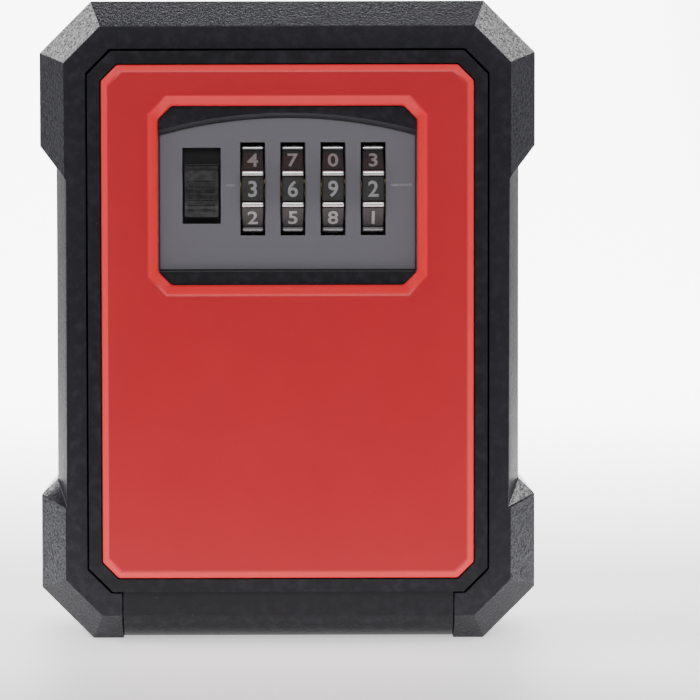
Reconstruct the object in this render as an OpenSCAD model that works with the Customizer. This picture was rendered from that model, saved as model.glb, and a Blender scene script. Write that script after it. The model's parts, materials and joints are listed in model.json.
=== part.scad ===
// Key lock box: a small safe for a wall or a shelf, with a drop-down door, four number
// wheels and a sprung thumb slide that lifts the latch.
// X runs to the right, Z up, and Y into the wall. The origin is the middle of the four
// wall-screw holes, on the back plane.

/* [Case] */
// Full height of the case
case_h = 120; // [120:0.5:124]
// Full width across the corner blocks
case_w = 93; // [93:0.5:96]
// Depth from the wall to the flat front face
case_d = 38; // [38:0.5:42]
// Leg of the four corner chamfers
corner_leg = 9.7; // [9:0.1:10.5]
// Width of the bevel round the front
bevel_w = 4.9; // [4:0.1:5.2]
// Depth of the bevel round the front
bevel_d = 5.5; // [4.5:0.1:5.6]
// How far each side is set back between the corner blocks
recess_d = 3.1; // [2.5:0.1:3.3]

/* [Wall screws] */
// Distance across between the wall-screw holes
wall_pitch_x = 50; // [44:1:56]
// Distance up between the wall-screw holes
wall_pitch_z = 76; // [70:1:76]
// Radius of the wall-screw holes
wall_hole_r = 2.4; // [2:0.1:2.8]

/* [Door] */
// Width of the door's black ring
door_w = 74.4; // [74:0.1:74.4]
// Height of the door's black ring
door_h = 100.9; // [100:0.1:100.9]
// Width of the red front
plate_w = 69.4; // [69:0.1:69.4]
// Height of the red front
plate_h = 95.8; // [95:0.1:95.8]
// Radius of the hinge pin
pin_r = 1.5; // [1.2:0.1:1.8]
// Radius of the door's hinge barrel
barrel_r = 6.2; // [5.8:0.1:6.2]

/* [Number wheels] */
// Radius over the wheel's corners
wheel_r = 10; // [9.5:0.1:10]
// Width of one wheel
wheel_w = 4.1; // [3.8:0.1:4.2]
// Distance from wheel to wheel
wheel_pitch = 7.5; // [7.5:0.1:7.6]
// Numbers on each wheel
wheel_numbers = 10; // [10]

/* [Latch] */
// Travel of the thumb slide
latch_travel = 3.3; // [2.6:0.1:3.3]
// Sideways travel of the reset lever
reset_travel = 1.4; // [1.3:0.1:1.4]
// Thickness of the bent sheet metal
sheet = 1.2; // [1:0.1:1.2]

/* [Hidden] */
$fn = 64;

// Clearance round a screw shank or a turning shaft
fit = 0.05;
// Overrun of a cut past the face that it opens
over = 1;

// Case, measured from the origin
half_w = case_w / 2;
half_h = case_h / 2;
front_y = -case_d;
bevel_y = front_y + bevel_d;
recess_x = half_w - recess_d;
recess_face_x = recess_x - 2.1;
face_half_w = half_w - bevel_w;
// Ends of the corner blocks: heights at the outer edge and at the recess
upper_end_z = 32.9;
upper_recess_z = 29.1;
lower_end_z = -32.7;
lower_recess_z = -29.7;
lower_face_z = -34.5;

// Door opening, the flange that the seal lies on, and the pocket of the inner case
door_half_w = door_w / 2;
door_half_h = door_h / 2;
door_leg = 4.4;
door_gap = 0.35;
flange_y = -32.4;
flange_back_y = -31.2;
flange_half_w = 34.9;
flange_half_h = 48.6;
pocket_half_w = recess_x - 3;
pocket_top_z = half_h - 5;
pocket_floor_z = -46.5;
pocket_leg = 13;
back_plate = 2.8;
tub_wall = 2.2;
case_screw_x = 35;
case_screw_z = 50.4;
case_screw_r = 1.25;
case_screw_head_r = 2.2;
case_screw_head_y = -1.75;
case_screws_x = [-case_screw_x, case_screw_x];
case_screws_z = [-case_screw_z, case_screw_z];

// Hinge, across the bottom of the door
hinge_y = -31.5;
hinge_z = -half_h + 6.6;
barrel_half = 30.9;
cradle_r = 7.15;
pin_half = 38.5;

// Door layers, front to back
plate_y = front_y - 2;
ring_y = front_y - 1;
floor_y = front_y + 0.4;
floor_back_y = floor_y + 2.2;
door_back_y = floor_y + 4.2;
dial_y = floor_y + 1.6;
housing_y = floor_back_y + 0.9;
cover_y = -17;
cover_back_y = cover_y + sheet;

// Window in the red front and the arched dial plate behind it
window_half_w = 24.1;
window_low_z = 6.9;
window_high_z = 40.25;
window_leg = 2.5;
window_bevel = 1.8;
arch_r = 90;
dial_half_w = 23.9;
dial_low_z = 9.75;
dial_high_z = 38.05;

// Wheels and their spindle
axis_y = -28.8;
axis_z = 24.8;
first_wheel_x = -6.5;
wheel_slot_w = wheel_w + 0.5;
wheel_slot_h = 17.4;
spindle_r = 1.6;
hub_r = 2.6;
wheel_bore_r = hub_r + fit;
flange_r = 6.2;
flange_t = 0.9;
flange_x = wheel_w / 2 + 0.3;
sleeve_l = wheel_pitch - 0.1;
notch_floor = hub_r + 0.3;
dog_ring_r = 4.4;
dog_angle = 18;
dog_r = 0.65;
dog_in = reset_travel - 0.55;
// Room for the flanges: behind the dial plate, and in the front of the housing
flanges_x = [-9, 21];
flange_room_y = -35.3;
spindle_left = -14.6;
spindle_right = 30.4;
clip_t = 0.6;
clip_r = 2.9;
groove_r = spindle_r - 0.5;
clips_x = [-11.35, 19.35, 27.5, 29.3];

// Lock housing, inside and outside
housing_half_w = 27;
housing_low_z = 7.2;
housing_high_z = 40.1;
housing_wall = 1.5;
partition_x = -13;
ears_x = [-30, 30];
ears_z = [12, 36];
ear_half_h = 3.5;
ear_screw_r = 1.1;
ribs_x = [-18, 0, 18];
ribs_z = [-30, -16, -2];
rib_half_t = 0.7;
rib_back_y = floor_back_y + 1.4;
cover_screws_at = [[-23.2, 11], [23.2, 11], [0, 36.6]];

// Thumb slide and its slot
slide_x = -16.05;
slide_w = 6.3;
slide_low_z = 19.5;
slide_high_z = 29.1;
slide_slot_w = 7.1;
slide_slot_z = [slide_low_z - 1.2, slide_high_z + latch_travel + 0.1];

// Latch plate, its hooks and prongs
latch_y = -18.4;
latch_half_w = 20;
latch_low_z = 9.4;
latch_high_z = 35;
hook_x = 11;
hook_w = 8;
hook_top_z = 42.5;
hook_tip_y = -11.8;
lip_z = 39.2;
prong_w = 4;
prong_t = 0.8;
prong_top_z = axis_z - flange_r - 0.25;
spring_x = 22.8;
spring_y = -21.3;
wing_z = 28.2;
striker_top_z = lip_z - 0.25;
striker_half_w = 15;
striker_screws_x = [-9, 9];
striker_screw_z = 31;
striker_screw_r = 1.4;

// Key hooks on the back wall, each held by two rivets
key_hooks_x = [-16, 16];
hook_plate_y = -back_plate - sheet;
hook_rivets_dx = [-2.4, 2.4];
hook_rivet_z = 5;
hook_rivet_r = 1;

// Rivets of the thumb slide
slide_rivets_dx = [-2.05, 1.75];
slide_rivet_z = 24;
slide_rivet_r = 0.8;

// ---- Helpers -------------------------------------------------------------------

// A box given by its lowest and highest corners
module block(low, high) {
    translate(low)
        cube(high - low);
}

// An outline drawn in X and Z, as a slab from the front plane to the back plane
module slab(front, back) {
    translate([0, back, 0])
        rotate([90, 0, 0])
            linear_extrude(back - front)
                children();
}

// An outline drawn in Y and Z, as a bar from x0 to x1
module bar_x(x0, x1) {
    translate([x0, 0, 0])
        rotate([90, 0, 90])
            linear_extrude(x1 - x0)
                children();
}

module rod_x(x0, x1, r, y, z) {
    translate([x0, y, z])
        rotate([0, 90, 0])
            cylinder(h = x1 - x0, r = r);
}

module rod_y(y0, y1, r, x, z) {
    translate([x, y1, z])
        rotate([90, 0, 0])
            cylinder(h = y1 - y0, r = r);
}

module both_sides() {
    children();
    mirror([1, 0, 0])
        children();
}

// Rectangle about the origin with its corners cut at 45 degrees
module cut_rectangle(w, h, leg) {
    polygon([
        [w, h - leg], [w - leg, h], [leg - w, h], [-w, h - leg],
        [-w, leg - h], [leg - w, -h], [w - leg, -h], [w, leg - h]
    ]);
}

// Rectangle with an arched top edge
module arched(w, low, high, r) {
    intersection() {
        translate([-w, low])
            square([2 * w, high - low]);
        translate([0, high - r])
            circle(r, $fn = 256);
    }
}

// A row of copies, one for each number wheel
module each_wheel() {
    for (i = [0 : 3])
        translate([first_wheel_x + i * wheel_pitch, 0, 0])
            children();
}

// Pan-head screw pointing to the front, its head under the plane head_y
module screw(x, z, head_y, head_t, head_r, shank_r, length) {
    rod_y(head_y, head_y + head_t, head_r, x, z);
    rod_y(head_y - length, head_y, shank_r, x, z);
}

// Closed coil of round wire about Z, from z0 to z1
module coil(radius, wire_r, z0, z1, turns) {
    sides = 8;
    per_turn = 14;
    rings = turns * per_turn;
    lead = (z1 - z0) / rings;
    points = [
        for (i = [0 : rings])
            for (j = [0 : sides - 1])
                let (a = 360 * i / per_turn, b = 360 * j / sides, r = radius + wire_r * cos(b))
                    [r * cos(a), r * sin(a), z0 + i * lead + wire_r * sin(b)]
    ];
    walls = [
        for (i = [0 : rings - 1])
            for (j = [0 : sides - 1])
                let (k = (j + 1) % sides)
                    [i * sides + j, i * sides + k, (i + 1) * sides + k, (i + 1) * sides + j]
    ];
    first_end = [for (j = [sides - 1 : -1 : 0]) j];
    last_end = [for (j = [0 : sides - 1]) rings * sides + j];
    polyhedron(points, concat(walls, [first_end, last_end]));
}

// ---- Case ----------------------------------------------------------------------

// Wedge that takes the bevel off one straight edge of the front
module bevel_cut(angle, distance) {
    slope = bevel_w / bevel_d;
    rotate([0, -angle, 0])
        translate([0, 0, -case_h])
            linear_extrude(2 * case_h)
                polygon([
                    [distance + over * slope, bevel_y + over],
                    [distance - bevel_w - 4 * slope, front_y - 4],
                    [distance + 10, front_y - 4],
                    [distance + 10, bevel_y + over]
                ]);
}

module bevel_cuts() {
    leg_distance = (half_w + half_h - corner_leg) * sqrt(1 / 2);
    for (a = [0, 180])
        bevel_cut(a, half_w);
    for (a = [90, 270])
        bevel_cut(a, half_h);
    for (a = [45 : 90 : 315])
        bevel_cut(a, leg_distance);
}

// Everything outside the recessed side, as a bar along Z
module recess_side() {
    lean = (recess_x - recess_face_x) / bevel_d;
    translate([0, 0, -half_h])
        linear_extrude(case_h)
            polygon([
                [recess_x, over], [recess_x, bevel_y],
                [recess_face_x - 5 * lean, front_y - 5],
                [half_w + 10, front_y - 5], [half_w + 10, over]
            ]);
}

// Height of the corner blocks' end planes at a given x
function upper_end(x) =
    upper_end_z + (x - half_w) * (upper_end_z - upper_recess_z) / recess_d;
function lower_end(x) =
    lower_end_z + (half_w - x) * (lower_recess_z - lower_end_z) / recess_d;

// The recess between the two corner blocks of the right side
module recess_cut() {
    inner_x = face_half_w - 3;
    outer_x = half_w + 8;
    intersection() {
        recess_side();
        slab(front_y - 5, over)
            polygon([
                [inner_x, upper_end(inner_x)], [outer_x, upper_end(outer_x)],
                [outer_x, lower_end(outer_x)], [inner_x, lower_end(inner_x)]
            ]);
    }
}

// Slanting facet on the upper end of the lower corner block: the plane through three
// of its corners, and all that lies above it
module facet_cut() {
    a = [recess_x, bevel_y, lower_recess_z];
    b = [half_w, bevel_y, lower_end_z];
    c = [recess_face_x, front_y, lower_face_z];
    across = cross(b - a, c - a);
    up = across * sign(across[2]) / norm(across);
    intersection() {
        recess_side();
        translate(a)
            rotate([0, acos(up[2]), atan2(up[1], up[0])])
                translate([-20, -20, 0])
                    cube([40, 40, 9]);
    }
}

// Room for the inner case, open at the back
module pocket_outline(inset) {
    w = pocket_half_w - inset;
    top = pocket_top_z - inset;
    low = pocket_floor_z + inset;
    polygon([
        [w, top - pocket_leg], [w - pocket_leg, top], [pocket_leg - w, top],
        [-w, top - pocket_leg], [-w, low], [w, low]
    ]);
}

module outer_case() {
    color([0.18, 0.18, 0.2])
        difference() {
            slab(front_y, 0)
                cut_rectangle(half_w, half_h, corner_leg);
            bevel_cuts();
            both_sides() {
                recess_cut();
                facet_cut();
            }
            slab(front_y - over, flange_y)
                cut_rectangle(door_half_w + door_gap, door_half_h + door_gap, door_leg);
            slab(flange_y - over, flange_back_y + over)
                cut_rectangle(flange_half_w, flange_half_h, 3.4);
            slab(flange_back_y, over)
                pocket_outline(0);
            slab(-back_plate, over)
                cut_rectangle(pocket_half_w + 0.4, half_h - 2.6, corner_leg - 1.5);
            // Hollow behind the hinge
            block([-32, -20, 3 - half_h], [32, over, pocket_floor_z - 2]);
            // Cradle of the hinge barrel, and the blind holes for its pin
            rod_x(-barrel_half - 0.2, barrel_half + 0.2, cradle_r, hinge_y, hinge_z);
            rod_x(-pin_half - 0.1, pin_half + 0.1, pin_r + 0.02, hinge_y, hinge_z);
            for (x = case_screws_x)
                for (z = case_screws_z)
                    rod_y(-14, 0, case_screw_r + fit, x, z);
        }
}

module inner_case() {
    color([0.62, 0.63, 0.65])
        difference() {
            union() {
                slab(-back_plate, 0)
                    cut_rectangle(pocket_half_w + 0.2, half_h - 2.8, corner_leg - 1.5);
                slab(flange_back_y + 0.2, -back_plate)
                    pocket_outline(0.2);
            }
            slab(flange_back_y - over, -back_plate)
                pocket_outline(tub_wall);
            for (x = [-wall_pitch_x / 2, wall_pitch_x / 2])
                for (z = [-wall_pitch_z / 2, wall_pitch_z / 2])
                    rod_y(-back_plate - over, over, wall_hole_r, x, z);
            for (x = case_screws_x)
                for (z = case_screws_z) {
                    rod_y(-back_plate - 16, over, case_screw_r + 0.15, x, z);
                    rod_y(case_screw_head_y - fit, over, case_screw_head_r + 0.2, x, z);
                }
            for (x = striker_screws_x)
                rod_y(-back_plate - over, -over, striker_screw_r + fit, x, striker_screw_z);
            for (x = key_hooks_x)
                for (dx = hook_rivets_dx)
                    rod_y(-back_plate - over, -1.1, hook_rivet_r + fit, x + dx, hook_rivet_z);
        }
}

module case_screws() {
    color([0.7, 0.7, 0.72])
        for (x = case_screws_x)
            for (z = case_screws_z)
                screw(x, z, case_screw_head_y, 1.6, case_screw_head_r, case_screw_r, 11);
}

module hinge_pin() {
    color([0.75, 0.75, 0.77])
        rod_x(-pin_half, pin_half, pin_r, hinge_y, hinge_z);
}

// Bent catch behind the door: base, arm, and the tongue in front of the hooks' lips
module striker() {
    arm_z = striker_top_z - 2.4;
    arm_y = hook_tip_y - 2.9;
    color([0.72, 0.72, 0.74])
        difference() {
            union() {
                block([-striker_half_w, -back_plate - sheet, striker_screw_z - 5],
                      [striker_half_w, -back_plate, arm_z + sheet]);
                block([-striker_half_w, arm_y, arm_z], [striker_half_w, -back_plate, arm_z + sheet]);
                block([-striker_half_w, arm_y, arm_z], [striker_half_w, arm_y + sheet, striker_top_z]);
            }
            for (x = striker_screws_x)
                rod_y(-back_plate - 3, 0, striker_screw_r + fit, x, striker_screw_z);
        }
}

module striker_screws() {
    color([0.7, 0.7, 0.72])
        for (x = striker_screws_x) {
            rod_y(hook_plate_y - 1.5, hook_plate_y, 2.5, x, striker_screw_z);
            rod_y(hook_plate_y, -1.1, striker_screw_r, x, striker_screw_z);
        }
}

// Rubber strip on the flange, along the top and both sides
module door_seal() {
    color([0.1, 0.1, 0.1])
        difference() {
            slab(flange_y - 0.85, flange_y)
                difference() {
                    cut_rectangle(door_half_w + 0.1, door_half_h + 0.15, door_leg);
                    cut_rectangle(flange_half_w + 0.2, flange_half_h + 0.3, 3.4);
                }
            block([-half_w, -half_h, -half_h], [half_w, 0, -44]);
        }
}

module key_hooks() {
    bend_y = hook_plate_y + sheet / 2;
    color([0.75, 0.75, 0.77])
        for (x = key_hooks_x)
            difference() {
                union() {
                    block([x - 5, hook_plate_y, -1], [x + 5, -back_plate, 8]);
                    bar_x(x - 2, x + 2)
                        polygon([
                            [bend_y, -1], [hook_plate_y - 6, -1], [hook_plate_y - 6.5, 3.5],
                            [hook_plate_y - 5.3, 3.5], [hook_plate_y - 4.9, 0.2], [bend_y, 0.2]
                        ]);
                }
                for (dx = hook_rivets_dx)
                    rod_y(hook_plate_y - over, -over, hook_rivet_r + fit, x + dx, hook_rivet_z);
            }
}

module hook_rivets() {
    color([0.8, 0.8, 0.82])
        for (x = key_hooks_x)
            for (dx = hook_rivets_dx) {
                rod_y(hook_plate_y - 0.8, hook_plate_y, 1.7, x + dx, hook_rivet_z);
                rod_y(hook_plate_y, -1.2, hook_rivet_r, x + dx, hook_rivet_z);
            }
}

// ---- Door ----------------------------------------------------------------------

// Cone that clears the ring's lower corner past the case as the door opens
module corner_relief() {
    start_x = door_half_w - door_leg + 0.3;
    length = door_leg + 0.5;
    translate([start_x, hinge_y, hinge_z])
        rotate([0, 90, 0])
            cylinder(h = length, r1 = cradle_r, r2 = cradle_r + 0.56 * length);
}

module door_frame() {
    half_plate_w = plate_w / 2 + 0.18;
    half_plate_h = plate_h / 2 + 0.18;
    color([0.15, 0.15, 0.16])
        difference() {
            union() {
                slab(ring_y, floor_back_y)
                    cut_rectangle(door_half_w, door_half_h, door_leg);
                slab(floor_back_y, door_back_y)
                    difference() {
                        cut_rectangle(door_half_w, door_half_h, door_leg);
                        cut_rectangle(door_half_w - 2.2, door_half_h - 2.2, 3.4);
                    }
                // Pads under the lock housing's ears, and stiffening ribs
                for (x = ears_x)
                    for (z = ears_z)
                        block([x - 3, floor_back_y, z - ear_half_h], [x + 3, housing_y, z + ear_half_h]);
                for (z = ribs_z)
                    block([-35.5, floor_back_y, z - rib_half_t], [35.5, rib_back_y, z + rib_half_t]);
                for (x = ribs_x)
                    block([x - rib_half_t, floor_back_y, -44], [x + rib_half_t, rib_back_y, -2]);
                rod_x(-barrel_half, barrel_half, barrel_r, hinge_y, hinge_z);
                block([-barrel_half, front_y, hinge_z - 1.6], [barrel_half, hinge_y, hinge_z + 6]);
            }
            slab(ring_y - over, floor_y)
                cut_rectangle(half_plate_w, half_plate_h, 3.1);
            slab(floor_y - over, floor_back_y + over)
                arched(dial_half_w + 0.6, dial_low_z - 0.4, dial_high_z + 0.95, arch_r + 1);
            rod_x(-barrel_half - over, barrel_half + over, pin_r + 0.06, hinge_y, hinge_z);
            both_sides() {
                rod_x(barrel_half, half_w, cradle_r, hinge_y, hinge_z);
                corner_relief();
            }
            for (x = ears_x)
                for (z = ears_z)
                    rod_y(floor_y + 0.7, housing_y + over, ear_screw_r + fit, x, z);
        }
}

// Red front: bevelled rim, and a window whose sides slope inward
module face_plate() {
    w = plate_w / 2;
    h = plate_h / 2;
    rim = 1.3;
    window_z = (window_high_z + window_low_z) / 2;
    window_half_h = (window_high_z - window_low_z) / 2;
    color([0.76, 0.26, 0.26])
        difference() {
            hull() {
                slab(plate_y + 0.9, floor_y)
                    cut_rectangle(w, h, 3);
                slab(plate_y, floor_y)
                    cut_rectangle(w - rim, h - rim, 3 - rim / 2);
            }
            translate([0, 0, window_z]) {
                slab(plate_y - over, floor_y + over)
                    cut_rectangle(window_half_w, window_half_h, window_leg);
                hull() {
                    slab(plate_y + 1.4, plate_y + 1.5)
                        cut_rectangle(window_half_w, window_half_h, window_leg);
                    slab(plate_y - 0.1, plate_y)
                        cut_rectangle(
                            window_half_w + window_bevel,
                            window_half_h + window_bevel,
                            window_leg + window_bevel / 2
                        );
                }
            }
        }
}

module dial_plate() {
    color([0.45, 0.44, 0.48])
        difference() {
            union() {
                slab(dial_y, housing_y)
                    arched(dial_half_w, dial_low_z, dial_high_z, arch_r);
                slab(floor_back_y, housing_y)
                    arched(dial_half_w + 2.5, dial_low_z - 2.2, dial_high_z + 2.3, arch_r + 2);
            }
            each_wheel()
                block(
                    [-wheel_slot_w / 2, dial_y - over, axis_z - wheel_slot_h / 2],
                    [wheel_slot_w / 2, housing_y + over, axis_z + wheel_slot_h / 2]
                );
            block(
                [slide_x - slide_slot_w / 2, dial_y - over, slide_slot_z[0]],
                [slide_x + slide_slot_w / 2, housing_y + over, slide_slot_z[1]]
            );
            // Room for the code sleeves' flanges
            block([flanges_x[0], flange_room_y, axis_z - flange_r - 0.4],
                  [flanges_x[1], housing_y + over, axis_z + flange_r + 0.4]);
        }
}

// Cast box round the wheels, open at the back
module lock_housing() {
    w = housing_half_w;
    inner_w = w - housing_wall;
    inner_low_z = housing_low_z + housing_wall;
    inner_high_z = housing_high_z - housing_wall;
    color([0.6, 0.6, 0.62])
        difference() {
            union() {
                difference() {
                    block([-w, housing_y, housing_low_z], [w, cover_y, housing_high_z]);
                    block(
                        [-inner_w, housing_y + housing_wall, inner_low_z],
                        [inner_w, cover_y + over, inner_high_z]
                    );
                }
                block(
                    [partition_x, housing_y + housing_wall, inner_low_z - 0.1],
                    [partition_x + 1.3, latch_y - 0.3, inner_high_z + 0.1]
                );
                // Ears on the door, and bosses for the cover's screws
                for (x = ears_x)
                    for (z = ears_z)
                        block([x - 3.1, housing_y, z - ear_half_h],
                              [x + 3.1, housing_y + 1.8, z + ear_half_h]);
                both_sides()
                    block([21, cover_y - 7, inner_low_z - 0.1], [w - 0.5, cover_y, 13.2]);
                block([-2, cover_y - 5, 34.7], [2, cover_y, inner_high_z + 0.1]);
            }
            block([flanges_x[0], housing_y - over, axis_z - 9.4],
                  [flanges_x[1], housing_y + housing_wall + 0.2, axis_z + 9.4]);
            // Room for the thumb slide's skirt and for the hooks' arms
            block(
                [slide_x - 5.4, housing_y - over, 14.2],
                [slide_x + 5.2, housing_y + housing_wall, 38]
            );
            both_sides()
                block(
                    [hook_x - hook_w / 2 - 0.5, latch_y - 0.4, inner_high_z - 0.1],
                    [hook_x + hook_w / 2 + 0.5, cover_y + over, housing_high_z + over]
                );
            rod_x(partition_x - over, w + over, spindle_r + fit, axis_y, axis_z);
            for (p = cover_screws_at)
                rod_y(cover_y - 4.5, cover_y + over, 1 + fit, p[0], p[1]);
            for (x = ears_x)
                for (z = ears_z)
                    rod_y(housing_y - over, housing_y + 3, ear_screw_r + fit, x, z);
        }
}

module housing_screws() {
    color([0.75, 0.75, 0.77])
        for (x = ears_x)
            for (z = ears_z)
                screw(x, z, housing_y + 1.8, 1.4, 2.1, ear_screw_r, 3.8);
}

module inner_cover() {
    middle_z = (housing_high_z + housing_low_z) / 2;
    color([0.66, 0.66, 0.68])
        difference() {
            translate([0, 0, middle_z])
                slab(cover_y, cover_back_y)
                    cut_rectangle(housing_half_w, (housing_high_z - housing_low_z) / 2, 2);
            for (p = cover_screws_at)
                rod_y(cover_y - over, cover_back_y + over, 1.15, p[0], p[1]);
        }
}

module cover_screws() {
    color([0.75, 0.75, 0.77])
        for (p = cover_screws_at)
            screw(p[0], p[1], cover_back_y, 0.8, 2, 1, 5);
}

// Leaf springs over the wheels, one finger for each
module detent_comb() {
    top = housing_high_z - housing_wall;
    tip = axis_z + wheel_r + 0.35;
    color([0.78, 0.77, 0.72]) {
        block([-9.5, -32, top - 0.5], [19, -22.5, top]);
        each_wheel()
            bar_x(-1.3, 1.3)
                polygon([
                    [-22.5, top], [-22.5, top - 0.5], [axis_y + 1.2, tip + 0.1],
                    [axis_y, tip], [axis_y - 1.2, tip + 0.45], [axis_y - 1.2, tip + 0.85],
                    [axis_y, tip + 0.45], [axis_y + 1.3, tip + 0.55], [-23, top]
                ]);
    }
}

// ---- Number wheels and code sleeves ----------------------------------------------

// One wheel: ten flats, a finger groove at each corner, and a ring of dog pockets
module number_wheel(index) {
    x = first_wheel_x + index * wheel_pitch;
    step = 360 / wheel_numbers;
    color([0.72, 0.72, 0.74])
        translate([x, axis_y, axis_z])
            rotate([0, 90, 0])
                difference() {
                    intersection() {
                        linear_extrude(wheel_w, center = true)
                            circle(wheel_r, $fn = wheel_numbers);
                        cylinder(h = wheel_w + over, r = wheel_r - 0.15, center = true);
                    }
                    for (a = [0 : step : 359])
                        rotate(a) {
                            translate([wheel_r + 0.1, 0, -wheel_w])
                                cylinder(h = 2 * wheel_w, r = 0.6);
                            translate([dog_ring_r, 0, wheel_w / 2 - dog_in - 0.25])
                                rotate(90)
                                    cylinder(h = 2 * wheel_w, r = dog_r + 0.15);
                        }
                    cylinder(h = 2 * wheel_w, r = wheel_bore_r, center = true);
                }
}

// One sleeve: hub through the wheel, notched flange, and two dogs in the wheel's pockets
module code_sleeve(index) {
    x = first_wheel_x + index * wheel_pitch + flange_x;
    color([0.78, 0.66, 0.38])
        translate([x, axis_y, axis_z])
            difference() {
                union() {
                    rod_x(flange_t - sleeve_l, flange_t, hub_r, 0, 0);
                    difference() {
                        rod_x(0, flange_t, flange_r, 0, 0);
                        block([-over, -prong_w / 2 - 0.3, -flange_r - over],
                              [flange_t + over, prong_w / 2 + 0.3, -notch_floor]);
                    }
                    for (s = [-1, 1])
                        rod_x(
                            -dog_in - 0.3, 0.1, dog_r,
                            s * dog_ring_r * cos(dog_angle), dog_ring_r * sin(dog_angle)
                        );
                }
                rod_x(-sleeve_l, flange_t + over, spindle_r + fit, 0, 0);
            }
}

module spindle() {
    color([0.8, 0.8, 0.82])
        difference() {
            rod_x(spindle_left, spindle_right, spindle_r, axis_y, axis_z);
            for (x = clips_x)
                difference() {
                    rod_x(x - 0.05, x + clip_t + 0.05, spindle_r + over, axis_y, axis_z);
                    rod_x(x - 0.1, x + clip_t + 0.1, groove_r, axis_y, axis_z);
                }
        }
}

module retaining_clips() {
    color([0.5, 0.5, 0.52])
        for (x = clips_x)
            difference() {
                rod_x(x, x + clip_t, clip_r, axis_y, axis_z);
                rod_x(x - over, x + clip_t + over, groove_r + fit, axis_y, axis_z);
                block([x - over, axis_y - 0.85, axis_z], [x + clip_t + over, axis_y + 0.85, axis_z + 5]);
            }
}

// Bent lever on the spindle's end, with a thumb tab behind the inner cover
module reset_lever() {
    side_x = clips_x[2] + clip_t + 0.1;
    low_z = axis_z - 4;
    high_z = axis_z + 4;
    back_y = cover_back_y + 1.1;
    color([0.7, 0.7, 0.72])
        difference() {
            union() {
                block([side_x, axis_y - 3.2, low_z], [side_x + 1, back_y, high_z]);
                block([18, back_y - 1, low_z], [side_x + 1, back_y, high_z]);
                block([20, back_y - 1, low_z], [21.2, back_y + 3.8, high_z]);
            }
            rod_x(side_x - over, side_x + 2, spindle_r + fit, axis_y, axis_z);
        }
}

module spindle_spring() {
    color([0.8, 0.8, 0.82])
        translate([0, axis_y, axis_z])
            rotate([0, 90, 0])
                coil(2.4, 0.28, clips_x[1] + clip_t + 0.4, housing_half_w - housing_wall - 0.4, 4);
}

// ---- Latch ---------------------------------------------------------------------

module latch_plate() {
    back = latch_y + sheet;
    color([0.74, 0.74, 0.76])
        difference() {
            union() {
                slab(latch_y, back)
                    difference() {
                        union() {
                            translate([-latch_half_w, latch_low_z])
                                square([2 * latch_half_w, latch_high_z - latch_low_z]);
                            translate([-spring_x - 2, wing_z - 4])
                                square([2 * spring_x + 4, 4]);
                        }
                        translate([-5.5, 31])
                            square([11, 10]);
                    }
                // Seats of the two return springs
                both_sides()
                    block([spring_x - 2, spring_y - 2.5, wing_z - sheet], [spring_x + 2, back, wing_z]);
                // Shelf under the wheels, with a prong for each code sleeve
                block([-5, axis_y - 2.2, latch_low_z], [latch_half_w, back, latch_low_z + sheet]);
                each_wheel()
                    block(
                        [flange_x + 0.05, axis_y - prong_w / 2, latch_low_z + 0.1],
                        [flange_x + 0.05 + prong_t, axis_y + prong_w / 2, prong_top_z]
                    );
                // Arm to the thumb slide
                block([slide_x - 0.75, -33.4, 19], [slide_x + 0.45, back, 28]);
                block([slide_x - 3.15, -33.5, 20], [slide_x + 2.85, -32.3, 28]);
                // Hooks, with their lips turned down behind the striker
                both_sides() {
                    block([hook_x - hook_w / 2, latch_y, latch_high_z - 1],
                          [hook_x + hook_w / 2, back, hook_top_z]);
                    block([hook_x - hook_w / 2, latch_y, hook_top_z - sheet],
                          [hook_x + hook_w / 2, hook_tip_y, hook_top_z]);
                    block([hook_x - hook_w / 2, hook_tip_y - sheet, lip_z],
                          [hook_x + hook_w / 2, hook_tip_y, hook_top_z]);
                }
            }
            for (dx = slide_rivets_dx)
                rod_y(-34, -32, slide_rivet_r + 0.02, slide_x + dx, slide_rivet_z);
        }
}

// Black finger piece: dished front, ledge at the top, and a skirt behind the dial plate
module thumb_slide() {
    color([0.12, 0.12, 0.13])
        difference() {
            union() {
                block([slide_x - slide_w / 2, dial_y - 1.5, slide_low_z],
                      [slide_x + slide_w / 2, housing_y + 0.2, slide_high_z]);
                block([slide_x - 4.9, housing_y + 0.1, 14.6], [slide_x + 4.8, housing_y + 1, 34.4]);
            }
            rod_x(slide_x - 5, slide_x + 5, 7.5, dial_y - 7.3, 23.4);
            for (dx = slide_rivets_dx)
                rod_y(-34.9, -33, slide_rivet_r + 0.02, slide_x + dx, slide_rivet_z);
        }
}

module slide_rivets() {
    color([0.8, 0.8, 0.82])
        for (dx = slide_rivets_dx) {
            rod_y(-34.8, -32.3, slide_rivet_r, slide_x + dx, slide_rivet_z);
            rod_y(-32.3, -31.7, 1.1, slide_x + dx, slide_rivet_z);
        }
}

module latch_springs() {
    color([0.8, 0.8, 0.82])
        for (x = [-spring_x, spring_x])
            translate([x, spring_y, 0])
                coil(1.6, 0.25, wing_z + 0.3, housing_high_z - housing_wall - 0.3, 7);
}

// ---- Nodes ---------------------------------------------------------------------

outer_case();
inner_case();
case_screws();
hinge_pin();
striker();
striker_screws();
door_seal();
key_hooks();
hook_rivets();
door_frame();
face_plate();
dial_plate();
lock_housing();
housing_screws();
inner_cover();
cover_screws();
detent_comb();
number_wheel(0);  // number_wheel_1
number_wheel(1);  // number_wheel_2
number_wheel(2);  // number_wheel_3
number_wheel(3);  // number_wheel_4
code_sleeve(0);  // code_sleeve_1
code_sleeve(1);  // code_sleeve_2
code_sleeve(2);  // code_sleeve_3
code_sleeve(3);  // code_sleeve_4
spindle();
retaining_clips();
reset_lever();
spindle_spring();
latch_plate();
thumb_slide();
slide_rivets();
latch_springs();
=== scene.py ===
import json
import math

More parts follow.
